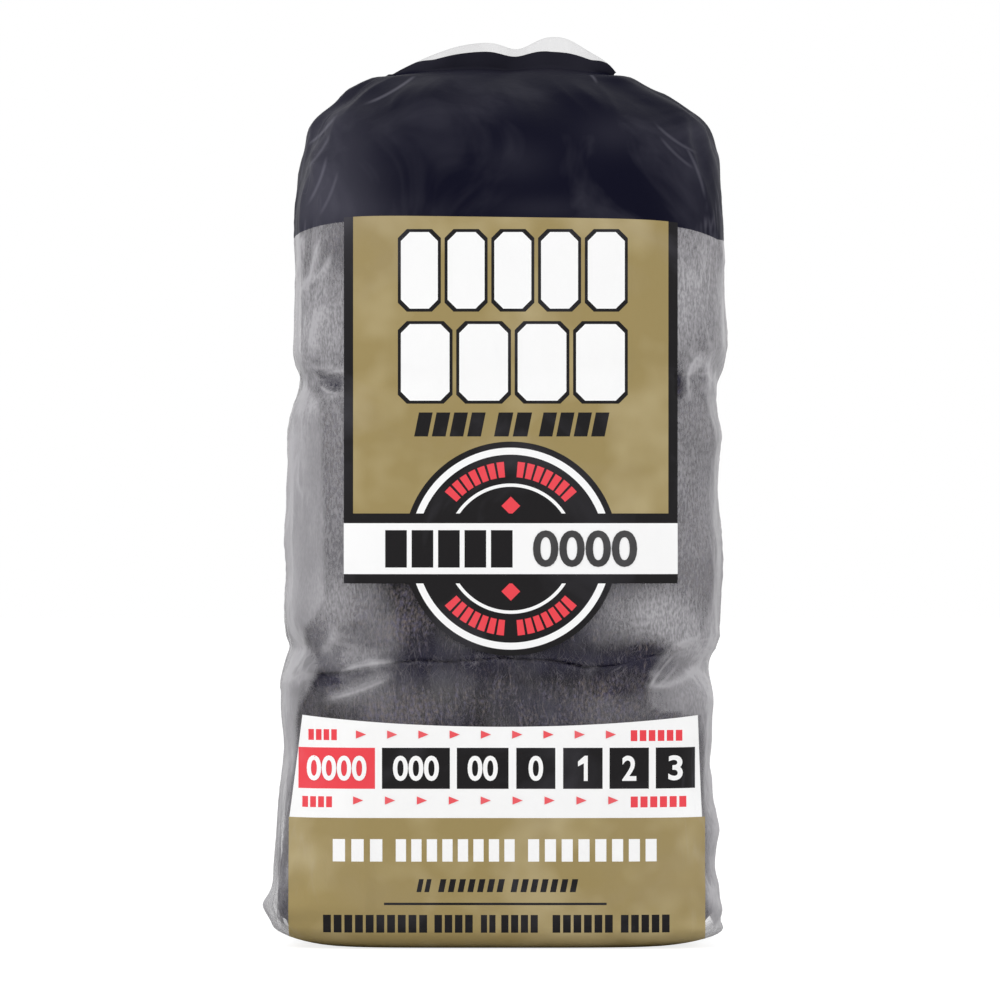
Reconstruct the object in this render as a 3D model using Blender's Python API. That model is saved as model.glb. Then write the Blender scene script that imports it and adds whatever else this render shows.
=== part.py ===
"""Printed film bag of steel wool pads, standing on its folded base.

Metres, +Z up. The printed front faces -Y and the origin is the middle of the flat base.
The bag is one skin lofted through rings, then given its thickness; the pads are pressed blocks inside it.
"""

import math

import bmesh
import bpy
from mathutils import Vector

# Bag
BAG_WIDTH = 0.1062          # across the sides, between the bulges
BAG_DEPTH = 0.0810          # front crest to back crest
BAG_SQUARENESS = 4.6        # exponent of the rounded-box cross-section
FILM = 0.0004               # film thickness, heavier than the real film so that it stays a solid
SEAL_GAP = 0.0008           # between the two layers of the seal

# Base
BASE_FLAT_WIDTH = 0.0740
BASE_FLAT_DEPTH = 0.0600
BASE_ROUND_HEIGHT = 0.0054
GUSSET_LOBE = 0.0032        # how far the folded corners stand out beside the base
GUSSET_HEIGHT = 0.0110
GUSSET_FADE = 0.0230
EAR_LENGTH = 0.0026         # pointed corner of the left gusset
EAR_HEIGHT = 0.0100

# Pads
TIER_COUNT = 3
PADS_PER_TIER = 4
PAD_HEIGHT = 0.0697
PAD_EDGE_RADIUS = 0.0085
PAD_CROWN = 0.0005          # a pad is this much fuller at the middle of a face than at its edges
PAD_SPACING = 0.0003        # between pads that touch
PAD_CLEARANCE = 0.0007      # between a pad and the film it presses on
TIER_SHIFT = 0.0018         # each tier sits this far to the right of the one below

# Creases where the film sinks in between two tiers
CREASE_DEPTH = 0.0026
CREASE_WIDTH = 0.0042
CREASE_TILT = 0.0020
SLACK = 0.0010              # loose film stands off the pads by up to this much

# Lap seam up the middle of the back
SEAM_RISE = 0.0008
SEAM_WIDTH = 0.0120

# Shoulders and sealed top
HEADROOM = 0.0065           # between the top pads and the seal
SHOULDER_HEIGHT = 0.0400
SHOULDER_SLOPE = 0.12       # share of the half width lost steadily up the shoulder
SHOULDER_ROUND = 0.43       # and the share lost towards its top
SHOULDER_LEAN = 0.0032      # the shoulder leans this far to the left, most just below the seal
LEAN_SPREAD = 0.0055
SEAL_WIDTH = 0.0480
SEAL_HEIGHT = 0.0062
SEAL_SHIFT = 0.0030         # the seal's edge leans this far back to the right
SEAL_DROOP = 0.0056         # its ends hang this far below its crests
SEAL_DIP = 0.0030           # depth and half width of the dip between its two crests
SEAL_DIP_WIDTH = 0.0042
SEAL_WAVE = 0.0022          # its waves front to back
PLEAT_COUNT = 13
PLEAT_DEPTH = 0.0016

# Print: heights of its edges above the base
PANEL_WIDTH = 0.0820
STRIP_BOTTOM = 0.0324
STRIP_TOP = 0.0566
BAND_BOTTOM = 0.0900
BAND_TOP = 0.1048
HEADER_BOTTOM = 0.1795

# Mesh density
FRONT_COLUMNS = 12
BACK_COLUMNS = 10
SIDE_ANGLES = (45, 39, 31, 21, 10)
ROW_STEP = 0.0085
PAD_CUTS = 4

STACK_BOTTOM = FILM + PAD_CLEARANCE
STACK_TOP = STACK_BOTTOM + TIER_COUNT * PAD_HEIGHT + (TIER_COUNT - 1) * PAD_SPACING
NECK_HEIGHT = STACK_TOP + FILM + PAD_CLEARANCE + HEADROOM
SHOULDER_BOTTOM = NECK_HEIGHT - SHOULDER_HEIGHT
BAG_HEIGHT = NECK_HEIGHT + SEAL_HEIGHT
CREASES = [STACK_BOTTOM + (i + 1) * (PAD_HEIGHT + PAD_SPACING) for i in range(TIER_COUNT - 1)]


def clear_scene():
    for obj in list(bpy.data.objects):
        bpy.data.objects.remove(obj, do_unlink=True)


def material(name, colour, roughness, metallic=0.0, alpha=1.0):
    mat = bpy.data.materials.new(name)
    mat.use_nodes = True
    shader = mat.node_tree.nodes["Principled BSDF"]
    shader.inputs["Base Color"].default_value = (*colour, 1.0)
    shader.inputs["Roughness"].default_value = roughness
    shader.inputs["Metallic"].default_value = metallic
    shader.inputs["Alpha"].default_value = alpha
    mat.diffuse_color = (*colour, 1.0)
    return mat


def ease(t):
    t = min(max(t, 0.0), 1.0)
    return t * t * (3 - 2 * t)


def hump(distance, width):
    return math.exp(-((distance / width) ** 2))


def tier_centre(tier):
    return TIER_SHIFT * (tier - (TIER_COUNT - 1) / 2)


def centre_x(z):
    """The bag follows the tiers, which lean a little to the right going up, and its shoulder leans back."""
    x = tier_centre(0)
    for crease in CREASES:
        x += TIER_SHIFT * ease((z - crease) / (3 * CREASE_WIDTH) + 0.5)
    return x - SHOULDER_LEAN * hump(z - (NECK_HEIGHT - LEAN_SPREAD), LEAN_SPREAD)


def ring_size(z):
    """Half width, half depth and squareness of the smooth bag at height z."""
    half_width, half_depth, square = BAG_WIDTH / 2, BAG_DEPTH / 2, BAG_SQUARENESS
    if z < BASE_ROUND_HEIGHT:
        rise = math.sqrt(max(1 - (1 - z / BASE_ROUND_HEIGHT) ** 2, 0.0))
        half_width = BASE_FLAT_WIDTH / 2 + (half_width - BASE_FLAT_WIDTH / 2) * rise
        half_depth = BASE_FLAT_DEPTH / 2 + (half_depth - BASE_FLAT_DEPTH / 2) * rise
    if z > SHOULDER_BOTTOM:
        t = min((z - SHOULDER_BOTTOM) / SHOULDER_HEIGHT, 1.0)
        seal_depth = FILM + SEAL_GAP / 2
        half_width *= 1 - SHOULDER_SLOPE * t**1.6 - SHOULDER_ROUND * t**4.6
        half_width = max(half_width, SEAL_WIDTH / 2)
        half_depth = seal_depth + (half_depth - seal_depth) * math.sqrt(1 - t**2.3) * (1 - 0.35 * t**4)
        square += (2.6 - square) * ease(t)
    return half_width, half_depth, square


def ring_point(angle, half_width, half_depth, square):
    c, s = math.cos(angle), math.sin(angle)
    reach = (abs(c) ** square + abs(s) ** square) ** (-1 / square)
    return half_width * reach * c, half_depth * reach * s


def column_angles():
    """Angles round the bag: even steps across the printed panel and the back, finer at the corners."""
    half_width, half_depth, square = ring_size(HEADER_BOTTOM / 2)

    def face(count, direction):
        angles = []
        for i in range(count + 1):
            x = (2 * i / count - 1) * PANEL_WIDTH / 2 / half_width
            y = (1 - abs(x) ** square) ** (1 / square)
            angles.append(math.atan2(direction * y, -direction * x))
        return angles

    side = [math.radians(a) for a in SIDE_ANGLES]
    right = [-a for a in side] + [0.0] + side[::-1]
    left = [math.pi + a for a in right]
    return face(FRONT_COLUMNS, -1) + right + face(BACK_COLUMNS, 1) + left


def row_heights():
    """Rows at the base's rounding, the creases, the print's edges and up the shoulders."""
    fixed = [BASE_ROUND_HEIGHT * (1 - math.cos(math.radians(a))) for a in (0, 30, 52, 70, 90)]
    fixed += [EAR_HEIGHT, STRIP_BOTTOM, STRIP_TOP, BAND_BOTTOM, BAND_TOP, HEADER_BOTTOM]
    for crease in CREASES:
        fixed += [crease + k * CREASE_WIDTH for k in (-2, -1, 0, 1, 2)]
    shoulder = NECK_HEIGHT - HEADER_BOTTOM
    fixed += [HEADER_BOTTOM + shoulder * math.sin(math.radians(a)) for a in (12, 24, 35, 45, 54, 63, 71, 79)]
    fixed += [NECK_HEIGHT, NECK_HEIGHT + SEAL_HEIGHT / 2, BAG_HEIGHT]
    fixed.sort()
    rows = [fixed[0]]
    for z in fixed[1:]:
        gap = z - rows[-1]
        steps = max(round(gap / ROW_STEP), 1)
        rows += [rows[-1] + gap * k / steps for k in range(1, steps + 1)]
    return rows


def folds(angle, z):
    """How far the film stands out from the smooth bag: gusset corners, ear, creases, slack and pleats."""
    side = abs(math.cos(angle))
    corner = hump(abs(math.sin(angle)) - 0.55, 0.22) * (1 if side > 0.5 else 0)
    above = max(z - GUSSET_HEIGHT, 0.0)
    out = GUSSET_LOBE * corner * hump(above, GUSSET_FADE) * ease(z / BASE_ROUND_HEIGHT)
    if math.cos(angle) < 0 and math.sin(angle) < 0:
        out += EAR_LENGTH * corner * hump(z - EAR_HEIGHT, GUSSET_HEIGHT / 3)
    for i, crease in enumerate(CREASES):
        middle = crease + CREASE_TILT * math.sin(2 * angle + 3 * i)
        strength = (0.12 + 0.7 * corner + 0.3 * side) * (0.85 + 0.25 * math.cos(angle + 2.5 * i + 2))
        out -= CREASE_DEPTH * strength * hump(z - middle, CREASE_WIDTH)
    loose = 1 + math.sin(4 * angle + 60 * z) * math.sin(3 * angle - 95 * z + 1)
    out += SLACK / 2 * loose * ease(z / BASE_ROUND_HEIGHT - 1) * (0.3 + 0.7 * side)
    up = ease((z - SHOULDER_BOTTOM) / SHOULDER_HEIGHT)
    near_seal = ease((NECK_HEIGHT - z) / SEAL_HEIGHT)
    out += PLEAT_DEPTH * up * near_seal * (1 + math.cos(PLEAT_COUNT * angle + 1.0))
    return out


def film_point(angle, z):
    half_width, half_depth, square = ring_size(z)
    x, y = ring_point(angle, half_width, half_depth, square)
    out = folds(angle, z)
    x += out * math.cos(angle)
    y += out * math.sin(angle)
    if y > 0:
        y += SEAM_RISE * hump(x, SEAM_WIDTH / 2) * ease((NECK_HEIGHT - z) / SHOULDER_HEIGHT)
    if z > SHOULDER_BOTTOM:
        t = ease((z - SHOULDER_BOTTOM) / (BAG_HEIGHT - SHOULDER_BOTTOM))
        along = x / (SEAL_WIDTH / 2)
        drop = SEAL_DROOP * min(abs(along), 1.0) ** 2.4 + SEAL_DIP * hump(x, SEAL_DIP_WIDTH)
        fin = ease((z - NECK_HEIGHT) / SEAL_HEIGHT)
        x += SEAL_SHIFT * fin
        z -= fin * drop
        y += SEAL_WAVE * t**3 * math.sin(4.2 * along + 0.5)
    return Vector((centre_x(z) + x, y, z))


def print_field(face_centre, angle, z):
    """Which ink lies on a piece of film: header all round, the other fields on the front only."""
    if z > NECK_HEIGHT:
        return "clear"
    if z > HEADER_BOTTOM:
        return "navy"
    if math.sin(angle) > -0.2:
        return "clear"
    in_panel = abs(face_centre.x - centre_x(z)) < PANEL_WIDTH / 2
    if z < STRIP_BOTTOM and z > BASE_ROUND_HEIGHT / 2:
        return "gold"
    if STRIP_BOTTOM < z < STRIP_TOP or (in_panel and BAND_BOTTOM < z < BAND_TOP):
        return "white"
    if in_panel and z > BAND_TOP:
        return "gold"
    return "clear"


def build_bag():
    inks = {
        "clear": material("film_clear", (0.52, 0.51, 0.54), 0.25, alpha=0.6),
        "navy": material("print_navy", (0.016, 0.016, 0.035), 0.35),
        "gold": material("print_gold", (0.37, 0.29, 0.13), 0.40),
        "white": material("print_white", (0.90, 0.90, 0.90), 0.40),
    }
    slot = {name: i for i, name in enumerate(inks)}
    angles = column_angles()
    rows = row_heights()
    bm = bmesh.new()
    rings = [[bm.verts.new(film_point(a, z)) for a in angles] for z in rows]
    count = len(angles)
    for r in range(len(rows) - 1):
        for c in range(count):
            d = (c + 1) % count
            face = bm.faces.new((rings[r][c], rings[r][d], rings[r + 1][d], rings[r + 1][c]))
            face.smooth = True
            middle = face.calc_center_median()
            turn = math.atan2(middle.y, middle.x - centre_x(middle.z))
            height = (rows[r] + rows[r + 1]) / 2
            face.material_index = slot[print_field(middle, turn, height)]
    bm.faces.new(list(reversed(rings[0])))

    mesh = bpy.data.meshes.new("film_bag")
    bm.to_mesh(mesh)
    bm.free()
    for mat in inks.values():
        mesh.materials.append(mat)
    bag = bpy.data.objects.new("film_bag", mesh)
    bpy.context.scene.collection.objects.link(bag)
    shell = bag.modifiers.new("film", "SOLIDIFY")
    shell.thickness = FILM
    shell.offset = -1
    return bag


def inside_bag(p, pad_middle):
    """True where p lies inside the film with the pads' clearance, its edges rounded above and below."""
    wall = FILM + PAD_CLEARANCE
    half_width, half_depth, square = ring_size(p.z - wall if p.z < BASE_ROUND_HEIGHT else p.z)
    into_edge = max(abs(p.z - pad_middle) - (PAD_HEIGHT / 2 - PAD_EDGE_RADIUS), 0.0)
    into_edge = min(into_edge, PAD_EDGE_RADIUS)
    wall += PAD_EDGE_RADIUS - math.sqrt(PAD_EDGE_RADIUS**2 - into_edge**2)
    if min(half_width, half_depth) <= wall:
        return False
    x = abs(p.x - centre_x(p.z)) / (half_width - wall)
    y = abs(p.y) / (half_depth - wall)
    return x**square + y**square < 1


def rounded_block(bm, size, radius, cuts):
    """A cube cut into a grid, then pulled in to a block with rounded edges."""
    bmesh.ops.create_cube(bm, size=2.0)
    bmesh.ops.subdivide_edges(bm, edges=bm.edges, cuts=cuts, use_grid_fill=True)
    for v in bm.verts:
        core = Vector()
        rest = Vector()
        spread = v.co.copy()
        for i in range(3):
            half = size[i] / 2
            place = abs(v.co[i])
            flat = 1 - 2 / (cuts + 1)
            reach = half * place if place <= flat * 0.5 else half - radius * (1 - (place - flat) / (1 - flat))
            sign = 1 if v.co[i] > 0 else -1
            core[i] = sign * min(reach, half - radius)
            rest[i] = sign * max(reach - (half - radius), 0.0)
        v.co = core + rest.normalized() * radius
        for i in range(3):
            others = spread.length_squared - spread[i] ** 2
            v.co[i] -= spread[i] * PAD_CROWN * others / 2


def build_pad(name, tier, layer, wool):
    inner_depth = BAG_DEPTH - 2 * (FILM + PAD_CLEARANCE)
    thickness = (inner_depth - (PADS_PER_TIER - 1) * PAD_SPACING) / PADS_PER_TIER
    width = BAG_WIDTH - 2 * (FILM + PAD_CLEARANCE)
    front = -inner_depth / 2 + layer * (thickness + PAD_SPACING)
    centre = Vector((
        tier_centre(tier),
        front + thickness / 2,
        STACK_BOTTOM + tier * (PAD_HEIGHT + PAD_SPACING) + PAD_HEIGHT / 2,
    ))
    bm = bmesh.new()
    rounded_block(bm, (width, thickness, PAD_HEIGHT), PAD_EDGE_RADIUS, PAD_CUTS)
    for v in bm.verts:
        if inside_bag(centre + v.co, centre.z):
            continue
        low, high = 0.0, 1.0
        for _ in range(24):
            middle = (low + high) / 2
            if inside_bag(centre + v.co * middle, centre.z):
                low = middle
            else:
                high = middle
        v.co *= low
    for face in bm.faces:
        face.smooth = True
    mesh = bpy.data.meshes.new(name)
    bm.to_mesh(mesh)
    bm.free()
    mesh.materials.append(wool)
    pad = bpy.data.objects.new(name, mesh)
    pad.location = centre
    bpy.context.scene.collection.objects.link(pad)
    return pad


def build():
    clear_scene()
    build_bag()
    wool = material("steel_wool", (0.27, 0.26, 0.28), 0.55, metallic=0.6)
    for tier in range(TIER_COUNT):
        for layer in range(PADS_PER_TIER):
            build_pad(f"wool_pad_{tier + 1}_{layer + 1}", tier, layer, wool)


build()
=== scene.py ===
"""Looks of the printed film bag and its steel wool pads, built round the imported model.

Metres, +Z up, printed front towards -Y. Print positions are in millimetres from the middle of the base.
"""

import math
import random

import bmesh
import bpy
import numpy as np
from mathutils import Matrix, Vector, noise
from mathutils.bvhtree import BVHTree


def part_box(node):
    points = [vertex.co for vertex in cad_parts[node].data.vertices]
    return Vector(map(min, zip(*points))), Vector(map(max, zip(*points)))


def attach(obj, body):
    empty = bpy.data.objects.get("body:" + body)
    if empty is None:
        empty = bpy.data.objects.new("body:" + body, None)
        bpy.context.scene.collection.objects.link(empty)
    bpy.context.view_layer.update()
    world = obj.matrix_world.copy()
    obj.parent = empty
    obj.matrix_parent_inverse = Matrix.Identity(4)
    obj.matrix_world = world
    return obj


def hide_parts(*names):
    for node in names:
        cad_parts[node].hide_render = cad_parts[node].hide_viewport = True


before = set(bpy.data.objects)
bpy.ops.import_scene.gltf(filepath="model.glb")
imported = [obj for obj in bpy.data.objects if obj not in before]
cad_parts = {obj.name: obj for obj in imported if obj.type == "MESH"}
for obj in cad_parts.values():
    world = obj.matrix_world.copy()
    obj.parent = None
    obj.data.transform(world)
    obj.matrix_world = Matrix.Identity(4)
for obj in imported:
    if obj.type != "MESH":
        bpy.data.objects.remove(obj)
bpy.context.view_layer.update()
MM = 0.001

# The bag's main sizes, as in the solids
BAG_WIDTH = 0.1062
BAG_DEPTH = 0.0810
BAG_SQUARENESS = 4.6
BASE_FLAT_WIDTH = 0.0770
BASE_FLAT_DEPTH = 0.0600
BASE_ROUND_HEIGHT = 0.0054
PAD_EDGE_RADIUS = 0.0017
TIERS = (1, 2, 3)
LAYERS = (1, 2, 3, 4)
PAD_LOW = [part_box(f"wool_pad_{t}_2")[0] for t in TIERS]
PAD_HIGH = [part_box(f"wool_pad_{t}_2")[1] for t in TIERS]
CREASES = [(PAD_HIGH[i].z + PAD_LOW[i + 1].z) / 2 for i in range(2)]
TIER_CENTRES = [(PAD_LOW[i].x + PAD_HIGH[i].x) / 2 for i in range(3)]
CREASE_WIDTH = 0.0042
NECK_HEIGHT = PAD_HIGH[2].z + 0.0076
SHOULDER_HEIGHT = 0.0400
SHOULDER_BOTTOM = NECK_HEIGHT - SHOULDER_HEIGHT
SEAL_WIDTH = 0.0540
SEAL_HEIGHT = 0.0080
SEAL_SHIFT = 0.0010
SEAL_DROOP_HEIGHT = 0.0020
SHOULDER_LEAN = 0.0032
LEAN_SPREAD = 0.0055
BAG_HEIGHT = NECK_HEIGHT + SEAL_HEIGHT
HEADER_BOTTOM = 0.1789


def ease(t):
    t = np.clip(t, 0.0, 1.0)
    return t * t * (3 - 2 * t)


def hump(distance, width):
    return np.exp(-((distance / width) ** 2))


def centre_x(z):
    x = np.full_like(np.asarray(z, float), TIER_CENTRES[0])
    for i, crease in enumerate(CREASES):
        x += (TIER_CENTRES[i + 1] - TIER_CENTRES[i]) * ease((z - crease) / (3 * CREASE_WIDTH) + 0.5)
    return x - SHOULDER_LEAN * hump(z - (NECK_HEIGHT - LEAN_SPREAD), LEAN_SPREAD)


def seal_drop(x):
    """How far the seal's edge lies below the bag's highest point; x from the seal's middle."""
    x = x / MM
    drop = 8.0 * np.abs(x / 27) ** 2.8 + 1.3 * ease((4 - x) / 8) + 2.6 * hump(x - 1.4, 4.4)
    drop += 0.9 * ease((x - 13) / 8) - 0.7 * hump(x - 11.5, 4.5)
    return MM * np.clip(drop, 0, 9.6)


def clear_margin(x):
    """Height of the unprinted margin along the seal's edge, which runs out towards its ends."""
    x = x / MM - SEAL_SHIFT / MM
    return MM * (2.6 + 1.1 * hump(x - 11, 6)) * ease((25 - np.abs(x)) / 6)


def ring_size(z):
    """Half width, half depth and squareness of the smooth bag at each height."""
    z = np.asarray(z, float)
    rise = np.sqrt(np.clip(1 - (1 - np.minimum(z / BASE_ROUND_HEIGHT, 1)) ** 2, 0, 1))
    half_width = BASE_FLAT_WIDTH / 2 + (BAG_WIDTH - BASE_FLAT_WIDTH) / 2 * rise
    half_depth = BASE_FLAT_DEPTH / 2 + (BAG_DEPTH - BASE_FLAT_DEPTH) / 2 * rise
    t = np.clip((z - SHOULDER_BOTTOM) / SHOULDER_HEIGHT, 0, 1)
    seal_depth = 0.3 * MM
    half_width = np.maximum(half_width * (1 - 0.12 * t**1.6 - 0.43 * t**4.6), SEAL_WIDTH / 2)
    half_depth = seal_depth + (half_depth - seal_depth) * np.sqrt(1 - t**2.3) * (1 - 0.35 * t**4)
    square = BAG_SQUARENESS + (2.6 - BAG_SQUARENESS) * ease(t)
    return half_width, half_depth, square


def ring_point(angle, half_width, half_depth, square):
    c, s = np.cos(angle), np.sin(angle)
    reach = (np.abs(c) ** square + np.abs(s) ** square) ** (-1 / square)
    return half_width * reach * c, half_depth * reach * s


def even_angles(count):
    """Angles that stand the same distance apart round the body of the bag, starting at its right side."""
    fine = np.linspace(0, 2 * math.pi, 20001)
    x, y = ring_point(fine, BAG_WIDTH / 2, BAG_DEPTH / 2, BAG_SQUARENESS)
    length = np.concatenate([[0], np.cumsum(np.hypot(np.diff(x), np.diff(y)))])
    return np.interp(np.arange(count) / count * length[-1], length, fine)


def field(points, scale, offset=0.0):
    """Smooth noise at each point, from -1 to 1; scale is in waves per metre along x, y and z."""
    scaled = points * np.asarray(scale, float) + offset
    return np.array([noise.noise(Vector(p)) for p in scaled])


# Creases and puckers seen in the photograph: start, end (x, z in mm), how far the line bows, width and rise in mm
FRONT_FOLDS = (
    ((-46.6, 141.4), (-40.4, 138.2), -1.0, 2.2, -0.7),
    ((-46.2, 140.0), (-40.6, 136.0), -1.2, 0.8, 0.7),
    ((-47.5, 143.0), (-38.0, 141.6), 0.4, 0.9, 0.5),
    ((-45.2, 174.4), (-49.4, 161.1), 1.2, 0.7, 0.5),
    ((-42.0, 170.2), (-47.2, 164.1), 0.8, 0.7, 0.45),
    ((-49.0, 176.0), (-50.4, 166.0), 0.5, 0.8, 0.5),
    ((-43.6, 158.0), (-46.0, 146.0), -1.0, 1.2, 0.4),
    ((-51.8, 125.3), (-53.0, 98.7), 1.2, 0.7, 0.6),
    ((-53.0, 98.7), (-53.0, 68.0), -1.6, 0.7, 0.6),
    ((48.8, 146.2), (44.7, 141.0), 0.8, 0.75, 0.9),
    ((44.7, 141.0), (45.2, 134.6), 0.6, 0.75, 0.8),
    ((43.6, 142.4), (43.8, 135.6), 0.0, 1.5, -1.3),
    ((50.4, 146.0), (49.0, 137.0), 1.0, 1.3, 0.5),
    ((-39.3, 68.8), (-26.5, 70.6), 0.6, 0.8, 0.7),
    ((-43.2, 61.4), (-27.4, 67.2), -0.6, 1.3, 0.8),
    ((-47.0, 65.8), (-39.4, 65.4), 0.5, 1.5, -1.2),
    ((-46.0, 73.0), (-41.0, 79.5), -1.2, 1.4, 0.5),
    ((36.1, 65.0), (41.8, 73.7), 0.5, 0.75, 0.8),
    ((41.8, 73.7), (47.0, 76.6), 0.4, 0.8, 0.7),
    ((36.1, 64.4), (49.1, 68.8), -0.8, 0.9, 0.8),
    ((22.1, 63.1), (35.4, 68.8), 0.6, 2.0, -0.8),
    ((29.5, 71.2), (40.3, 74.6), 0.8, 1.6, -0.7),
    ((-48.0, 200.0), (-43.5, 178.0), 0.8, 1.0, 0.7),
    ((-44.6, 204.0), (-41.0, 184.0), 0.4, 1.2, -0.7),
    ((-41.0, 209.0), (-37.0, 190.0), 0.6, 1.0, 0.6),
    ((-38.5, 207.0), (-33.0, 198.0), -0.8, 1.2, -0.6),
    ((44.0, 206.0), (49.0, 190.0), 1.2, 1.4, -0.7),
    ((38.0, 211.0), (45.0, 199.0), 1.2, 1.1, 0.7),
    ((22.0, 214.0), (26.0, 206.0), 0.6, 1.2, 0.6),
    ((-20.0, 214.0), (-27.0, 208.0), -0.6, 1.2, 0.6),
    ((-49.0, 24.0), (-55.0, 9.0), 1.5, 1.4, 0.8),
    ((46.0, 22.0), (52.0, 7.0), -1.5, 1.4, 0.8),
    ((51.0, 44.0), (50.0, 26.0), 0.8, 1.0, 0.6),
)

# Crisp pale lines along sharp creases, partly the doubled film's haze and partly painted highlight: start, end (x, z in
# mm), how far the line bows, and strength
SHARP_LINES = (
    ((-45.6, 139.2), (-39.6, 136.8), -0.9, 0.9),
    ((-46.2, 140.4), (-38.6, 142.2), 0.6, 0.4),
    ((49.8, 147.4), (46.4, 135.4), -2.3, 1.0),
    ((-40.5, 68.2), (-26.8, 70.6), 0.6, 0.7),
    ((35.7, 63.6), (42.7, 72.9), 0.5, 1.0),
    ((-43.5, 61.4), (-27.2, 67.1), -0.6, 0.6),
    ((37.5, 64.2), (43.8, 71.4), -0.5, 0.6),
    ((-54.3, 128.0), (-54.6, 88.0), -0.5, 1.0),
    ((43.8, 69.5), (49.4, 63.0), 0.6, 0.7),
    ((-44.4, 176.8), (-48.4, 160.0), -0.6, 0.6),
    ((41.0, 75.5), (46.5, 73.0), 0.4, 0.5),
    ((-42.0, 171.8), (-46.4, 162.0), 0.7, 0.5),
    ((37.0, 74.2), (44.2, 76.4), 0.4, 0.4),
    ((-46.0, 163.0), (-48.6, 147.0), 0.6, 0.5),
    ((43.2, 178.0), (44.8, 150.0), 0.5, 0.4),
    ((-49.0, 158.0), (-50.0, 143.0), 0.4, 0.6),
    ((-20.5, 217.5), (-35.0, 208.5), 1.0, 0.9),
    ((-40.6, 206.8), (-49.5, 198.5), 0.8, 0.7),
    ((19.4, 218.6), (23.6, 213.8), 0.5, 0.7),
    ((-42.5, 201.5), (-49.0, 192.0), 0.6, 0.6),
    ((37.2, 204.0), (48.5, 196.0), -0.8, 0.5),
    ((-43.4, 196.0), (-48.4, 183.0), 0.8, 0.6),
    ((38.5, 200.5), (47.5, 192.0), -0.6, 0.4),
    ((-40.5, 192.0), (-45.5, 180.0), 0.6, 0.4),
    ((44.5, 199.0), (50.0, 184.0), 0.8, 0.5),
    ((-46.5, 205.5), (-50.5, 188.0), -0.8, 0.5),
)

# Bulges of the outline: side (-1 left, 1 right), height, half-height and reach in mm
OUTLINE_BULGES = (
    (-1, 143.5, 4.0, -0.5),
    (-1, 137.0, 6.0, -2.2),
    (-1, 50.0, 9.0, -1.3),
    (-1, 84.5, 5.0, 0.5),
    (-1, 64.0, 5.0, -0.9),
    (-1, 74.5, 3.0, -0.7),
    (-1, 199.0, 3.5, -0.7),
    (-1, 210.5, 3.6, -3.4),
    (-1, 193.0, 8.0, -1.0),
    (1, 198.5, 3.0, -0.6),
    (1, 208.0, 2.2, -0.5),
    (1, 216.0, 1.6, 1.6),
    (-1, 216.2, 1.8, 1.4),
    (1, 165.0, 24.0, -0.7),
    (1, 152.0, 9.0, 0.9),
    (1, 134.0, 6.0, -0.8),
    (1, 36.0, 10.0, -0.7),
    (1, 2.5, 3.2, 2.6),
    (1, 127.5, 3.5, 0.6),
    (1, 97.0, 9.0, 0.7),
    (1, 69.5, 3.5, -0.2),
    (1, 61.5, 4.0, 0.5),
    (1, 44.0, 6.0, -0.8),
    (1, 30.0, 4.5, 0.8),
    (1, 19.5, 4.5, -1.3),
    (1, 11.0, 4.5, -0.6),
)


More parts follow.
